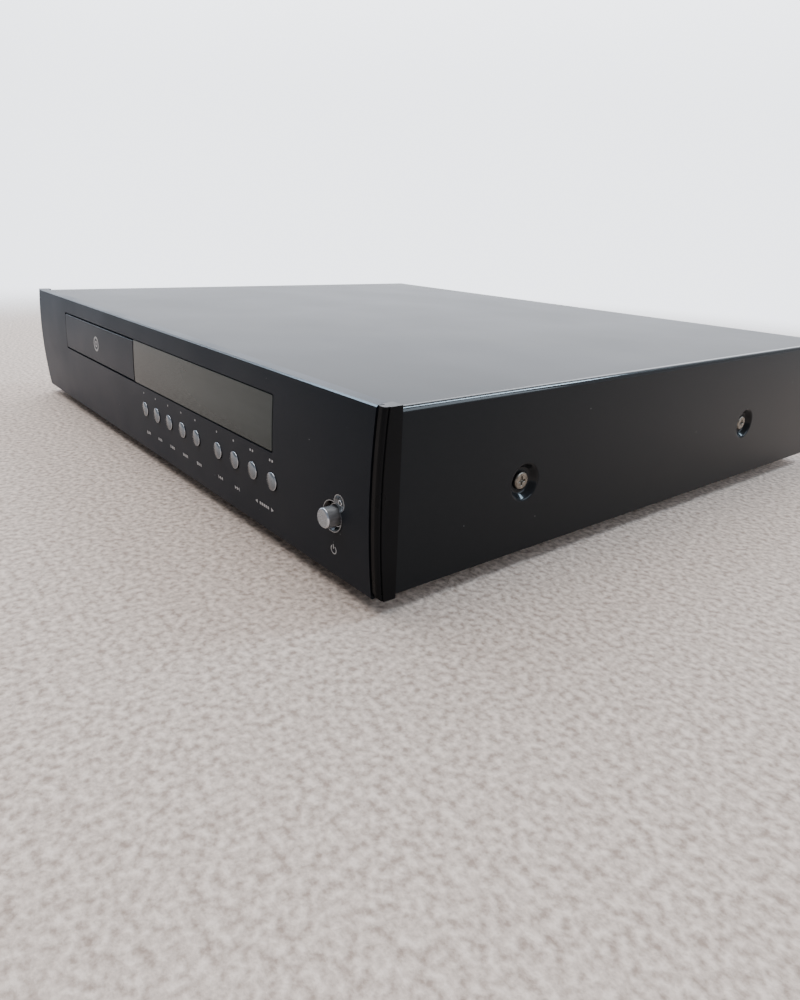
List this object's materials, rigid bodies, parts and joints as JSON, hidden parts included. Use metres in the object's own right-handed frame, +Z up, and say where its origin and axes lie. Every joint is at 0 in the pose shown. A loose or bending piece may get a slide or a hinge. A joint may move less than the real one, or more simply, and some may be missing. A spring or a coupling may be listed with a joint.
{
  "type": "disc player with loading tray",
  "caption": "Full-width black disc player: crowned fascia with end cheeks, smoked window, button row, and a motor-driven disc tray that slides out.",
  "frame": {"origin": "on the floor under the feet, at the middle of the outline in width and depth", "axes": "+X to the right as seen from the front, +Y from the fascia to the rear panel, +Z up"},
  "size_m": [0.43, 0.364, 0.078],
  "materials": {
    "fascia_black": "satin",
    "cheek_black": "satin",
    "cover_black": "fine texture",
    "rear_black": "satin",
    "plated_steel": "zinc plated",
    "nickel_screw": "nickel plated",
    "zinc_screw": "zinc plated",
    "foot_plastic": "matte",
    "pad_rubber": "matte",
    "smoked_window": "polished",
    "door_black": "satin",
    "satin_silver": "satin",
    "bezel_silver": "turned",
    "light_pipe": "clear",
    "board_green": "lacquered",
    "board_brown": "lacquered",
    "tube_glass": "clear",
    "switch_black": "moulded",
    "switch_white": "moulded",
    "ferrite": "matte",
    "heatsink_alu": "extruded",
    "can_sleeve": "sleeved",
    "brass_post": "turned",
    "cable_white": "smooth",
    "moulded_black": "moulded",
    "tray_black": "moulded",
    "nylon_white": "moulded",
    "motor_can": "plated",
    "brass_turned": "turned",
    "belt_rubber": "matte",
    "bridge_steel": "plated",
    "moulded_grey": "moulded",
    "die_cast": "cast",
    "ground_rod": "ground",
    "bush_rubber": "matte",
    "socket_black": "moulded",
    "pin_plate": "plated",
    "gold_plate": "plated",
    "phono_plastic": "moulded",
    "shell_plate": "plated"
  },
  "bodies": {
    "chassis": {"fascia": "fascia_black", "cheek_left": "cheek_black", "cheek_right": "cheek_black", "top_cover": "cover_black", "chassis_base": "plated_steel", "rear_panel": "rear_black", "cover_screws": "nickel_screw", "chassis_screws": "zinc_screw", "feet": "foot_plastic", "foot_pads": "pad_rubber", "display_window": "smoked_window", "power_bezel": "bezel_silver", "led_lens": "light_pipe", "front_board": "board_green", "display_tube": "tube_glass", "key_switches": "switch_black", "power_switch": "switch_white", "main_board": "board_green", "power_board": "board_brown", "transformer": "ferrite", "heatsink": "heatsink_alu", "capacitors": "can_sleeve", "board_posts": "brass_post", "flat_cables": "cable_white", "loader_frame": "moulded_black", "loading_motor": "motor_can", "drive_belt": "belt_rubber", "clamp_bridge": "bridge_steel", "hinge_bushes": "bush_rubber", "iec_inlet": "socket_black", "iec_pins": "pin_plate", "phono_sockets": "gold_plate", "phono_inserts": "phono_plastic", "scart_socket": "socket_black", "hdmi_socket": "shell_plate"},
    "tray": {"disc_tray": "tray_black", "tray_door": "door_black"},
    "tray_gear_body": {"tray_gear": "nylon_white"},
    "pulley_gear_body": {"pulley_gear": "nylon_white"},
    "motor_pulley_body": {"motor_pulley": "brass_turned"},
    "cam_slider_body": {"cam_slider": "nylon_white"},
    "turntable_body": {"turntable": "moulded_black"},
    "laser_sled_body": {"laser_sled": "die_cast"},
    "feed_gear_body": {"feed_gear": "nylon_white"},
    "feed_pinion_body": {"feed_pinion": "brass_turned"},
    "clamp_puck_body": {"clamp_puck": "nylon_white"},
    "mechanism": {"traverse": "moulded_grey", "spindle_motor": "motor_can", "guide_rods": "ground_rod", "feed_motor": "motor_can"},
    "key_1": {"button_1": "satin_silver"},
    "key_2": {"button_2": "satin_silver"},
    "key_3": {"button_3": "satin_silver"},
    "key_4": {"button_4": "satin_silver"},
    "key_5": {"button_5": "satin_silver"},
    "key_6": {"button_6": "satin_silver"},
    "key_7": {"button_7": "satin_silver"},
    "key_8": {"button_8": "satin_silver"},
    "key_9": {"button_9": "satin_silver"},
    "power_key": {"power_button": "satin_silver"}
  },
  "joints": [
    {"name": "tray_slide", "type": "slide", "parent": "chassis", "child": "tray", "axis": [0, -1, 0], "range_m": [0, 0.148]},
    {"name": "tray_gear_spin", "type": "hinge", "parent": "chassis", "child": "tray_gear_body", "pos_m": [-0.1098, -0.13928, 0.047], "axis": [0, 0, 1], "range_deg": [0, 531]},
    {"name": "pulley_spin", "type": "hinge", "parent": "chassis", "child": "pulley_gear_body", "pos_m": [-0.0858, -0.13928, 0.043], "axis": [0, 0, 1], "range_deg": [-1061, 0]},
    {"name": "motor_pulley_spin", "type": "hinge", "parent": "chassis", "child": "motor_pulley_body", "pos_m": [-0.0518, -0.14228, 0.038], "axis": [0, 0, 1], "range_deg": [-4241, 0]},
    {"name": "lift_hinge", "type": "hinge", "parent": "chassis", "child": "mechanism", "pos_m": [-0.07875, 0.00222, 0.0455], "axis": [-1, 0, 0], "range_deg": [0, 4.88]},
    {"name": "cam_slide", "type": "slide", "parent": "chassis", "child": "cam_slider_body", "axis": [1, 0, 0], "range_m": [0, 0.01601]},
    {"name": "turntable_spin", "type": "hinge", "parent": "mechanism", "child": "turntable_body", "pos_m": [-0.07875, -0.09225, 0.04697], "axis": [0, -0.0851, 0.9964], "continuous": true},
    {"name": "sled_slide", "type": "slide", "parent": "mechanism", "child": "laser_sled_body", "axis": [0, 0.9964, 0.0851], "range_m": [0, 0.034]},
    {"name": "feed_gear_spin", "type": "hinge", "parent": "mechanism", "child": "feed_gear_body", "pos_m": [-0.04185, -0.05184, 0.04389], "axis": [0, -0.0851, 0.9964], "range_deg": [-233, 0]},
    {"name": "feed_pinion_spin", "type": "hinge", "parent": "mechanism", "child": "feed_pinion_body", "pos_m": [-0.04185, -0.03929, 0.04497], "axis": [0, -0.0851, 0.9964], "range_deg": [0, 465]},
    {"name": "clamp_spin", "type": "hinge", "parent": "chassis", "child": "clamp_puck_body", "pos_m": [-0.07875, -0.09178, 0.061], "axis": [0, 0, 1], "continuous": true},
    {"name": "key_1_press", "type": "slide", "parent": "chassis", "child": "key_1", "axis": [0, 1, 0], "range_m": [0, 0.0005], "stiffness_N_per_m": 2000},
    {"name": "key_2_press", "type": "slide", "parent": "chassis", "child": "key_2", "axis": [0, 1, 0], "range_m": [0, 0.0005], "stiffness_N_per_m": 2000},
    {"name": "key_3_press", "type": "slide", "parent": "chassis", "child": "key_3", "axis": [0, 1, 0], "range_m": [0, 0.0005], "stiffness_N_per_m": 2000},
    {"name": "key_4_press", "type": "slide", "parent": "chassis", "child": "key_4", "axis": [0, 1, 0], "range_m": [0, 0.0005], "stiffness_N_per_m": 2000},
    {"name": "key_5_press", "type": "slide", "parent": "chassis", "child": "key_5", "axis": [0, 1, 0], "range_m": [0, 0.0005], "stiffness_N_per_m": 2000},
    {"name": "key_6_press", "type": "slide", "parent": "chassis", "child": "key_6", "axis": [0, 1, 0], "range_m": [0, 0.0005], "stiffness_N_per_m": 2000},
    {"name": "key_7_press", "type": "slide", "parent": "chassis", "child": "key_7", "axis": [0, 1, 0], "range_m": [0, 0.0005], "stiffness_N_per_m": 2000},
    {"name": "key_8_press", "type": "slide", "parent": "chassis", "child": "key_8", "axis": [0, 1, 0], "range_m": [0, 0.0005], "stiffness_N_per_m": 2000},
    {"name": "key_9_press", "type": "slide", "parent": "chassis", "child": "key_9", "axis": [0, 1, 0], "range_m": [0, 0.0005], "stiffness_N_per_m": 2000},
    {"name": "power_press", "type": "slide", "parent": "chassis", "child": "power_key", "axis": [0, 1, 0], "range_m": [0, 0.003], "stiffness_N_per_m": 900}
  ],
  "couplings": [
    {"joint": "tray_gear_spin", "follows": "tray_slide", "rad_per_m": 62.5},
    {"joint": "pulley_spin", "follows": "tray_slide", "rad_per_m": -125},
    {"joint": "motor_pulley_spin", "follows": "tray_slide", "rad_per_m": -500},
    {"joint": "cam_slide", "follows": "lift_hinge", "m_per_rad": 0.18777},
    {"joint": "feed_gear_spin", "follows": "sled_slide", "rad_per_m": -119.05},
    {"joint": "feed_pinion_spin", "follows": "sled_slide", "rad_per_m": 238.1}
  ]
}
